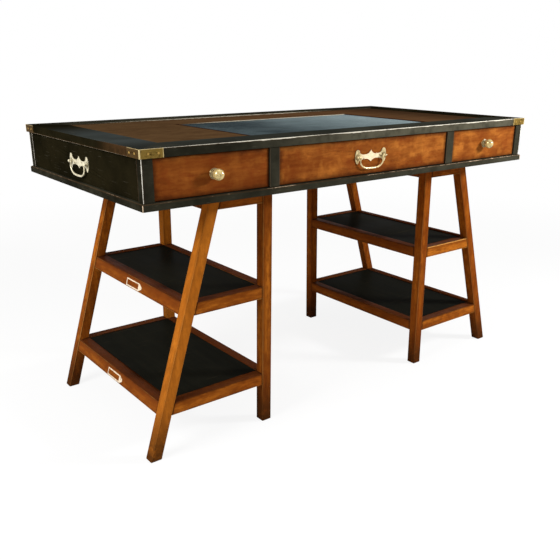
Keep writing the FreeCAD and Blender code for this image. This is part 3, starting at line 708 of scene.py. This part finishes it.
def mitredFrame(low, high, section):
    mesh = bmesh.new()
    rings = []
    for inset, height in section:
        corners = ((low.x + inset, low.y + inset), (high.x - inset, low.y + inset),
                   (high.x - inset, high.y - inset), (low.x + inset, high.y - inset))
        rings.append([mesh.verts.new((x, y, low.z + height)) for x, y in corners])
    joinRows(mesh, [ring + ring[:1] for ring in rings + rings[:1]])
    bmesh.ops.recalc_face_normals(mesh, faces=mesh.faces[:])
    return mesh


plinthLow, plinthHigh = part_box("plinth_mouldings")
plinthLines = ((1, plinthLow.y, 2, plinthHigh.z, 0.0036), (0, plinthLow.x, 2, plinthHigh.z, 0.0026),
               (0, plinthHigh.x, 2, plinthHigh.z, 0.0036), (1, plinthHigh.y, 2, plinthHigh.z, 0.0036),
               (0, plinthLow.x, 1, plinthLow.y, 0.0044), (0, plinthHigh.x, 1, plinthLow.y, 0.0036))
# painted shade on the end faces, and a painted sheen on the front towards the right
plinthShading = ((0, plinthLow.x, 2, 0.0, 0.1, 0.8, shadedEndLook["deep"]),
                (1, plinthLow.y, 0, -0.4, 0.3, 0.14, lacquerLook["paleSheen"]))
plinthFinish = lacquerFinish("plinth", lacquerLook, caseLook["plinthPale"], plinthLines,
                             caseLook["plinthScratch"], plinthShading)
newPiece("plinth", mitredFrame(plinthLow, plinthHigh, plinthLook["section"]), "desk", plinthFinish,
         "plinth_mouldings")
print("plinth built")


# the field round the leather: brown wood, bright along the rear edge of the leather's bed with wear and a
# painted highlight, and a painted shadow line beside the leather
bedLook = {
    "rub": (60.0, 4.0, 0.6),
    "wear": 0.0036,                            # width of the bright line behind the leather, wear and painted highlight
    "worn": (-0.0004, 0.0008),
    "wornFrom": (-0.32, -0.16, 0.8),           # along X, as are the two below
    "russet": (-0.5, 0.3, 0.25),
    "russetLeast": 0.1,
    "aged": (0.36, 0.56, 0.6),
    "dirt": 0.005,                             # width of the painted shadow line beside the leather
    "soil": (-0.0006, 0.001, 0.9),
}


def fieldFinish(bedHigh, seed):
    finish, paint = newFinish("field_wood")
    place = paint.place()
    x, y, _ = paint.split(place)
    shown, rough, height = woodTone(paint, place, "x", seed, fieldLook)
    rub = paint.noise(place, *bedLook["rub"])
    rearGap = abs(y - bedHigh.y).most((abs(x) - bedHigh.x).most(0.0))
    sideGap = abs(abs(x) - bedHigh.x).most((y - bedHigh.y).most(0.0))
    worn = (rub * bedLook["wear"] - rearGap).ramp(*bedLook["worn"]) * x.ramp(*bedLook["wornFrom"])
    # a painted shadow line beside the leather, on both sides
    soil = (rub * bedLook["dirt"] + bedLook["dirt"] - sideGap).ramp(*bedLook["soil"])
    shown = paint.mix(x.ramp(*bedLook["russet"]) + bedLook["russetLeast"], shown, fieldLook["russet"])
    # darker towards the right end
    shown = paint.mix(x.ramp(*bedLook["aged"]), shown, fieldLook["pore"])
    shown = paint.mix(soil, shown, fieldLook["seam"])
    # the bright line behind the leather: wear and a painted highlight
    shown = paint.mix(worn, shown, fieldLook["worn"])
    paint.surface(shown, rough, height, fieldLook)
    dress("top_field", finish, fieldLook["edge"])


padLow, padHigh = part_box("writing_pad")
fieldFinish(padHigh, seed + 5)


# the writing leather: a thin hide let into the field, its edges turned down
padLook = {
    "hide": tone(34, 44, 47),
    "scuffAndSheen": tone(142, 159, 162),
    "crease": tone(26, 32, 36),
    "seam": tone(36, 15, 9),
    "gloss": 0.001,
    "rough": 0.5,
    "bump": (0.3, 0.0003),
    "cells": 520.0,                            # scale of the hide's cells
    "pits": (0.12, 0.0),                       # the creases between them, and their domes
    "domes": (0.0, 0.25),
    "fine": (1300.0, 2.0, 0.5),
    "fineUp": 0.35,
    "cloud": (5.0, 4.0, 0.6, 0.32, 0.7),
    "scuff": ((30.0, 90.0, 30.0), 4.0, 0.6, 0.58, 0.74),
    "paintedSheen": (-0.32, 0.46, 0.85),              # painted sheen, brighter towards the right, along X
    "cloudShare": 0.24,
    "pitShare": 0.5,
    "scuffShare": 0.08,
    "roughened": (0.12, 0.12, 0.1),            # clouds, scuffs and pits in the roughness
    "leftSeam": (0.013, 0.009),
    "rightSeam": (0.004, 0.002),
    "seamShare": 0.92,
    "rows": (70, 42),
    "roll": 0.0016,                            # radius of the turned edge
    "rollStops": (0.0, 0.12, 0.35, 0.7, 1.0),
    "clear": 0.0002,                           # the edge stops this far above the bed
    "ripple": 0.00022,                         # height of the unevenness, and its waves
    "waveX": 21,
    "waveY": 15,
    "slant": 4,
    "sway": (1.3, 17),
}


def leatherFinish(low, high):
    finish, paint = newFinish("writing_leather")
    place = paint.place()
    cells = paint.node("ShaderNodeTexVoronoi", {"feature": "DISTANCE_TO_EDGE"},
                       {"Vector": place, "Scale": padLook["cells"]})
    fine = paint.noise(place, *padLook["fine"])
    cloud = paint.patches(place, *padLook["cloud"])
    scuff = paint.patches(place, *padLook["scuff"])
    pits = cells.ramp(*padLook["pits"])
    across = paint.split(place)[0]
    # a painted sheen, brightening the hide towards the right
    paintedSheen = across.ramp(*padLook["paintedSheen"]) + (cloud - 0.5) * padLook["cloudShare"]
    shown = paint.mix(paintedSheen, padLook["hide"], padLook["scuffAndSheen"])
    shown = paint.mix(pits * padLook["pitShare"], shown, padLook["crease"])
    shown = paint.mix(scuff * padLook["scuffShare"], shown, padLook["scuffAndSheen"])
    seam = (across - low.x).ramp(*padLook["leftSeam"]).most((high.x - across).ramp(*padLook["rightSeam"]))
    shown = paint.mix(seam * padLook["seamShare"], shown, padLook["seam"])
    cloudRough, scuffRough, pitRough = padLook["roughened"]
    rough = padLook["rough"] + (cloud - 0.5) * cloudRough + scuff * scuffRough + pits * pitRough
    height = cells.ramp(*padLook["domes"]) + fine * padLook["fineUp"]
    paint.surface(shown, rough, height, padLook)
    return finish


def leatherSheet(low, high, look):
    roll = look["roll"]
    depth = high.z - low.z - look["clear"]
    sway, turns = look["sway"]

    def stops(start, end, count):              # close together on the turned edges
        near = [roll * share for share in look["rollStops"]]
        inner = [start + roll + (end - start - 2 * roll) * n / count for n in range(1, count)]
        return [start + n for n in near] + inner + [end - n for n in reversed(near)]

    mesh = bmesh.new()
    rows = []
    for y in stops(low.y, high.y, look["rows"][1]):
        row = []
        for x in stops(low.x, high.x, look["rows"][0]):
            inside = min(x - low.x, high.x - x, y - low.y, high.y - y)
            fall = 1 - min(inside / roll, 1)
            down = (1 - math.sqrt(1 - fall * fall)) * depth
            ripple = look["ripple"] * math.sin(x * look["waveX"] + sway * math.sin(y * turns))
            ripple *= math.sin(y * look["waveY"] + x * look["slant"])
            row.append(mesh.verts.new((x, y, high.z - down + ripple * (1 - fall))))
        rows.append(row)
    joinRows(mesh, rows)
    return mesh


leather = newPiece("writing_leather", leatherSheet(padLow, padHigh, padLook), "desk",
                   leatherFinish(padLow, padHigh), "writing_pad")
shadeSmooth(leather)
print("top finished")


# shelves: satin black boards with a faint grain, dust and long thin scratches
shelfLook = {
    "deep": tone(16, 16, 12),
    "dust": tone(28, 27, 21),
    "scratch": tone(96, 86, 66),
    "rough": 0.4,
    "gloss": 0.001,
    "bump": (0.15, 0.0004),
    "shift": (0.7, 1.3, 0.0),                  # moves the pattern on from shelf to shelf
    "grain": ((60.0, 4.0, 60.0), 4.0, 0.6),
    "grainShown": (0.35, 0.7, 0.25),
    "cloud": (7.0, 4.0, 0.6, 0.35, 0.75),
    "cloudShare": 0.35,
    "cloudRough": 0.16,
    "marks": ((4.5, 260.0, 1.0), 2.0, 0.5, 0.69, 0.75, 0.45),
}


def shelfFinish(name, seed):
    finish, paint = newFinish(name + "_black")
    start = paint.vector("ADD", paint.place(), tuple(seed * step for step in shelfLook["shift"]))
    grain = paint.noise(start, *shelfLook["grain"])
    cloud = paint.patches(start, *shelfLook["cloud"])
    marks = paint.patches(start, *shelfLook["marks"]) * cloud
    dusty = grain.ramp(*shelfLook["grainShown"]) + cloud * shelfLook["cloudShare"]
    shown = paint.mix(dusty, shelfLook["deep"], shelfLook["dust"])
    shown = paint.mix(marks, shown, shelfLook["scratch"])
    rough = shelfLook["rough"] + (cloud - 0.5) * shelfLook["cloudRough"]
    paint.surface(shown, rough, grain, shelfLook)
    dress(name, finish)


shelves = ("left_upper_shelf", "left_lower_shelf", "right_upper_shelf", "right_lower_shelf")
for number, name in enumerate(shelves):
    shelfFinish(name, number)
print("shelves finished")


# brass: pale and polished on knobs, pulls and frames, darkened on the corners
brassLook = {
    "bright": tone(208, 188, 138),
    "dull": tone(84, 66, 32),
    "rough": 0.26,
    "grime": 0.95,
    "metal": 0.3,
    "gloss": 0.25,
    "bump": (0.12, 0.0002),
    "edge": 0.0006,
    "tarnish": (120.0, 5.0, 0.62, 0.48, 0.7),
    "spots": (38.0, 4.0, 0.6),
    "spotsUp": 2.0,
    "fine": (1500.0, 2.0, 0.5),
    "roughened": (0.22, 0.2),                  # spots and grime in the roughness
    "dullCore": 0.55,                          # share of a reach within which it has its full strength
    "dullShare": 0.9,
    "grooveCore": 0.45,
    "sheenSpotCore": 0.6,
    "browned": (0.0, 0.0004, 0.85),
    "knocked": (-0.0005, 0.0006, 0.85),
}
handleLook = {**brassLook, "bright": tone(202, 193, 164), "dull": tone(92, 82, 54)}
knobLook = {**brassLook, "bright": tone(204, 180, 118), "dull": tone(62, 46, 18), "rough": 0.14, "gloss": 0.7}
labelLook = {**brassLook, "bright": tone(226, 206, 178), "grime": 0.5, "edge": 0.0004}
nailLook = {**brassLook, "bright": tone(160, 128, 66), "dull": tone(96, 70, 30),
            "rough": 0.35, "grime": 0.5, "gloss": 0.0, "edge": 0.0005}
antiqueLook = {**brassLook, "bright": tone(116, 94, 44), "dull": tone(62, 46, 20),
               "rough": 0.4, "grime": 0.9, "metal": 0.25, "gloss": 0.0, "edge": 0.0004}
steelLook = {**brassLook, "bright": tone(150, 146, 136), "dull": tone(96, 86, 72),
             "rough": 0.36, "grime": 0.6, "metal": 0.9, "gloss": 0.06}


# dull: (point, radius); grooves: (axis, place, reach); lines as on the lacquer
# stain: (axis, past, colour), a painted brown shade; the bright spot: (point, radius, colour), a painted
# reflection
def metalFinish(name, look, dull=(), lines=(), grooves=(), stain=None, sheenSpot=None):
    finish, paint = newFinish(name)
    place = paint.place()
    axes = paint.split(place)
    grime = paint.patches(place, *look["tarnish"], look["grime"])
    spots = paint.noise(place, *look["spots"])
    fine = paint.noise(place, *look["fine"])
    for point, radius in dull:                 # polish never reaches round these points
        grime = grime.most(paint.away(place, point).ramp(radius, radius * look["dullCore"], look["dullShare"]))
    for axis, at, reach in grooves:            # nor into these grooves and rims: patina in the knobs' grooves, painted shade along a plate's rim at the wall
        grime = grime.most(abs(axes[axis] - at).ramp(reach, reach * look["grooveCore"]))
    bright = look["bright"]
    if sheenSpot:                                 # a painted reflection, brightest round this point
        point, radius, colour = sheenSpot
        bright = paint.mix(paint.away(place, point).ramp(radius, radius * look["sheenSpotCore"]), bright, colour)
    shown = paint.mix(grime, bright, look["dull"])
    if stain:                                  # painted brown shade on the faces that lie past this distance on an axis
        axis, past, colour = stain
        shown = paint.mix((abs(axes[axis]) - past).ramp(*look["browned"]), shown, colour)
    if lines:                                  # knocked bright along these edges
        shown = paint.mix(bareEdges(axes, spots, lines).ramp(*look["knocked"]), shown, brassLook["bright"])
    spotRough, grimeRough = look["roughened"]
    rough = look["rough"] + (spots - 0.5) * spotRough + grime * grimeRough
    paint.surface(shown, rough, fine + spots * look["spotsUp"], look)
    return finish


cornerLook = {
    "arm": 0.056,                              # length of a plate's arm
    "cornerWear": 0.0044,
    "endWear": 0.0012,
    "longWear": 0.0016,                        # along the upper edges, on the long sides and on the ends
    "shortWear": 0.0010,
    "skin": 0.0012,                            # depth of the painted brown shade on the ends
    "stain": tone(48, 29, 9),
}
plateLow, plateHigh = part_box("corner_plates")
arm = cornerLook["arm"]
cornerLines = []
for y in (plateLow.y, plateHigh.y):
    for x, innerX in ((plateLow.x, plateLow.x + arm), (plateHigh.x, plateHigh.x - arm)):
        cornerLines += [(0, x, 1, y, cornerLook["cornerWear"]), (0, innerX, 1, y, cornerLook["endWear"])]
    cornerLines.append((1, y, 2, plateHigh.z, cornerLook["longWear"]))
for x in (plateLow.x, plateHigh.x):
    cornerLines.append((0, x, 2, plateHigh.z, cornerLook["shortWear"]))
cornerEndShade = (0, plateHigh.x - cornerLook["skin"], cornerLook["stain"])
antiqueBrass = metalFinish("antique_brass", antiqueLook, lines=cornerLines, stain=cornerEndShade)
dress("corner_plates", antiqueBrass, antiqueLook["edge"])
dress("corner_plate_screws", metalFinish("nail_brass", nailLook), nailLook["edge"], 3)


# a bail: half its line as (share of the pivots' half spacing, drop, radius) from a pin's tip to the middle
bailLook = {
    "line": ((1.113, 0.0, 0.0024), (1.03, 0.0, 0.0024), (0.95, 0.0, 0.0023), (0.9, 0.0, 0.0022),
             (0.845, 0.0006, 0.0021), (0.85, 0.0045, 0.0019), (0.885, 0.0095, 0.0019), (0.87, 0.0155, 0.0020),
             (0.76, 0.0230, 0.0021), (0.55, 0.0288, 0.0023), (0.3, 0.0304, 0.0026), (0.1, 0.0306, 0.0027)),
    "round": 5,
    "steps": 5,
}


def bentBail(pivots, look):
    middle = (pivots[0] + pivots[1]) / 2
    reach = pivots[1] - middle
    half, other = ([(middle + reach * (side * share) - Vector((0, 0, drop)), radius)
                    for share, drop, radius in look["line"]] for side in (1, -1))
    points = half + other[::-1]
    data = bpy.data.curves.new("bail_line", "CURVE")
    data.dimensions = "3D"
    data.bevel_depth = 1.0
    data.bevel_resolution = look["round"]
    data.use_fill_caps = True
    line = data.splines.new("NURBS")
    line.points.add(len(points) - 1)
    for point, (place, radius) in zip(line.points, points):
        point.co = (*place, 1.0)
        point.radius = radius
    line.order_u = 3
    line.use_endpoint_u = True
    line.resolution_u = look["steps"]
    holder = bpy.data.objects.new("bail_line", data)
    made = bpy.data.meshes.new_from_object(holder)
    mesh = bmesh.new()
    mesh.from_mesh(made)
    for face in mesh.faces:
        face.smooth = True
    bpy.data.objects.remove(holder)
    bpy.data.curves.remove(data)
    bpy.data.meshes.remove(made)
    return mesh


# pulls and handles: where the bails hang, and where the plates are dull or bright; the bright spot is a
# painted reflection and the dull rim a painted shade
pullLook = {
    "bodies": {"centre_pull": "centre_bail", "left_handle": "left_bail", "right_handle": "right_bail"},
    "half": 0.0485,                            # from the middle to a pivot
    "height": 0.7125,
    "dullRadius": 0.0125,
    "rim": 0.0015,                             # painted shade along the wall
    "sheenSpotRadius": 0.044,
    "sheenSpot": tone(242, 222, 184),
}
for pull, body in pullLook["bodies"].items():
    inFront = pull == "centre_pull"
    out = 1 if inFront else 0                  # the axis that the plate faces
    low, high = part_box(pull + "_bail")
    middle = (low + high) / 2
    middle.z = pullLook["height"]
    sidewards = Vector((pullLook["half"], 0, 0)) if inFront else Vector((0, pullLook["half"], 0))
    pivots = [middle - sidewards, middle + sidewards]
    low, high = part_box(pull + "_plate")
    wall = low[out] if pull == "right_handle" else high[out]
    look = brassLook if inFront else handleLook
    dull = [(tuple(pivot), pullLook["dullRadius"]) for pivot in pivots]
    # painted shade where the plate meets the wall
    rim = ((out, wall, pullLook["rim"]),)
    # the bright spot on the centre plate is a painted reflection
    sheenSpot = (tuple((low + high) / 2), pullLook["sheenSpotRadius"], pullLook["sheenSpot"]) if inFront else None
    plateBrass = metalFinish(pull + "_plate_brass", look, dull, grooves=rim, sheenSpot=sheenSpot)
    dress(pull + "_plate", plateBrass, look["edge"], 3)
    pinBrass = metalFinish(pull + "_brass", look)
    dress(pull + "_posts", pinBrass)
    newPiece(pull + "_bent_bail", bentBail(pivots, bailLook), body, pinBrass, pull + "_bail")
labelBrass = metalFinish("label_brass", labelLook)
for name in ("left_label_frames", "right_label_frames"):
    dress(name, labelBrass, labelLook["edge"])
screwSteel = metalFinish("screw_steel", steelLook)
for name in ("knob_left_screw", "knob_right_screw"):
    dress(name, screwSteel)


# the knobs, turned: (radius, way out from the drawer)
turnedLook = {
    "turns": 56,
    "rings": ((0.0130, 0.0), (0.0130, 0.0012), (0.0127, 0.0019), (0.0120, 0.0023), (0.0113, 0.0025),
              (0.0112, 0.0029), (0.0115, 0.0034), (0.0115, 0.0042), (0.0112, 0.0048), (0.0105, 0.0052),
              (0.0097, 0.0055), (0.0095, 0.0059), (0.0097, 0.0064), (0.0096, 0.0069), (0.0091, 0.0073)),
    "ball": (0.0135, 0.0175),                  # radius, and its middle's way out
    "ballRings": range(-46, 89, 6),            # degrees from its widest ring
    "grooves": (0.0026, 0.0057, 0.0075),
    "grime": 0.0009,                           # how far it reaches from a groove
}


def turnedKnob(middle, look):
    mesh = bmesh.new()
    rings = []
    size, reach = look["ball"]
    arc = [math.radians(angle) for angle in look["ballRings"]]
    ball = [(size * math.cos(angle), reach + size * math.sin(angle)) for angle in arc]
    for radius, out in list(look["rings"]) + ball:
        ring = []
        for n in range(look["turns"]):
            angle = 2 * math.pi * n / look["turns"]
            ring.append(mesh.verts.new((middle.x + radius * math.cos(angle), middle.y - out,
                                        middle.z + radius * math.sin(angle))))
        rings.append(ring)
    joinRows(mesh, [ring + ring[:1] for ring in rings])
    tip = mesh.verts.new((middle.x, middle.y - reach - size, middle.z))
    for n in range(look["turns"]):
        mesh.faces.new((rings[-1][n], rings[-1][(n + 1) % look["turns"]], tip))
    bmesh.ops.recalc_face_normals(mesh, faces=mesh.faces[:])
    return mesh


for side in ("left", "right"):
    low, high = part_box("knob_" + side)
    middle = Vector(((low.x + high.x) / 2, high.y, (low.z + high.z) / 2))
    grooves = [(1, middle.y - groove, turnedLook["grime"]) for groove in turnedLook["grooves"]]
    knobBrass = metalFinish(f"knob_{side}_brass", knobLook, grooves=grooves)
    knob = newPiece(f"knob_{side}_turned", turnedKnob(middle, turnedLook), "drawer_" + side, knobBrass,
                    "knob_" + side)
    shadeSmooth(knob)
print("brass finished")


# floor, world and lamps
stageLook = {
    "floor": 40.0,
    "squares": 8,
    "paper": (0.86, 0.86, 0.86, 1.0),
    "white": (1.0, 1.0, 1.0, 1.0),
    "glow": 0.88,                              # share of the floor's white that takes no shadow
    "allWhite": (1.2, 3.5),                    # metres from the desk in which the shadow ends
    "ambient": (1.0, 0.99, 0.96, 1.0),
    "ambientLevel": 0.3,
    "lamps": {
        "key": {"place": (1.6, -1.5, 1.45), "size": 0.4, "watts": 60.0},
        "overhead": {"place": (0.0, 0.0, 3.4), "size": 2.2, "watts": 15.0},
        "fill": {"place": (-2.8, -0.3, 2.0), "size": 1.6, "watts": 100.0},
    },
    "aim": (0.0, 0.0, 0.5),
}


def backdropRays(paint):                       # 1 where the backdrop is seen, straight or in a reflection
    seen, gloss, through = (paint.node("ShaderNodeLightPath", {}, {}, ray)
                            for ray in ("Is Camera Ray", "Is Glossy Ray", "Is Transmission Ray"))
    return seen.most(gloss).most(through)


def makeFloor(look):
    mesh = bmesh.new()
    steps = look["squares"]
    stops = [look["floor"] * (n / steps - 0.5) for n in range(steps + 1)]
    grid = [[mesh.verts.new((x, y, 0.0)) for x in stops] for y in stops]
    joinRows(mesh, grid)
    finish, paint = newFinish("studio_paper")
    paper = paint.node("ShaderNodeBsdfDiffuse", {}, {"Color": look["paper"]})
    glow = paint.node("ShaderNodeEmission", {}, {"Color": look["white"], "Strength": 1.0})
    away = paint.away(paint.place(), (0.0, 0.0, 0.0)).ramp(*look["allWhite"])
    share = backdropRays(paint) * (away * (1.0 - look["glow"]) + look["glow"])
    skin = paint.node("ShaderNodeMixShader", {}, {0: share, 1: paper, 2: glow})
    paint.node("ShaderNodeOutputMaterial", {}, {"Surface": skin})
    newObject("studio_floor", mesh, finish)


def makeLight(look):
    world = bpy.data.worlds.new("studio")
    scene.world = world
    world.use_nodes = True
    world.node_tree.nodes.clear()
    sky = Paint(world.node_tree)
    dim = sky.node("ShaderNodeBackground", {}, {"Color": look["ambient"], "Strength": look["ambientLevel"]})
    white = sky.node("ShaderNodeBackground", {}, {"Color": look["white"], "Strength": 1.0})
    both = sky.node("ShaderNodeMixShader", {}, {0: backdropRays(sky), 1: dim, 2: white})
    sky.node("ShaderNodeOutputWorld", {}, {"Surface": both})
    for name, lamp in look["lamps"].items():
        light = bpy.data.lights.new(name, "AREA")
        light.shape = "DISK"
        light.size = lamp["size"]
        light.energy = lamp["watts"]
        holder = bpy.data.objects.new(name, light)
        holder.location = lamp["place"]
        aim = Vector(look["aim"]) - Vector(lamp["place"])
        holder.rotation_euler = aim.to_track_quat("-Z", "Y").to_euler()
        scene.collection.objects.link(holder)


makeFloor(stageLook)
makeLight(stageLook)
scene.view_settings.view_transform = "Standard"
print("stage lit")
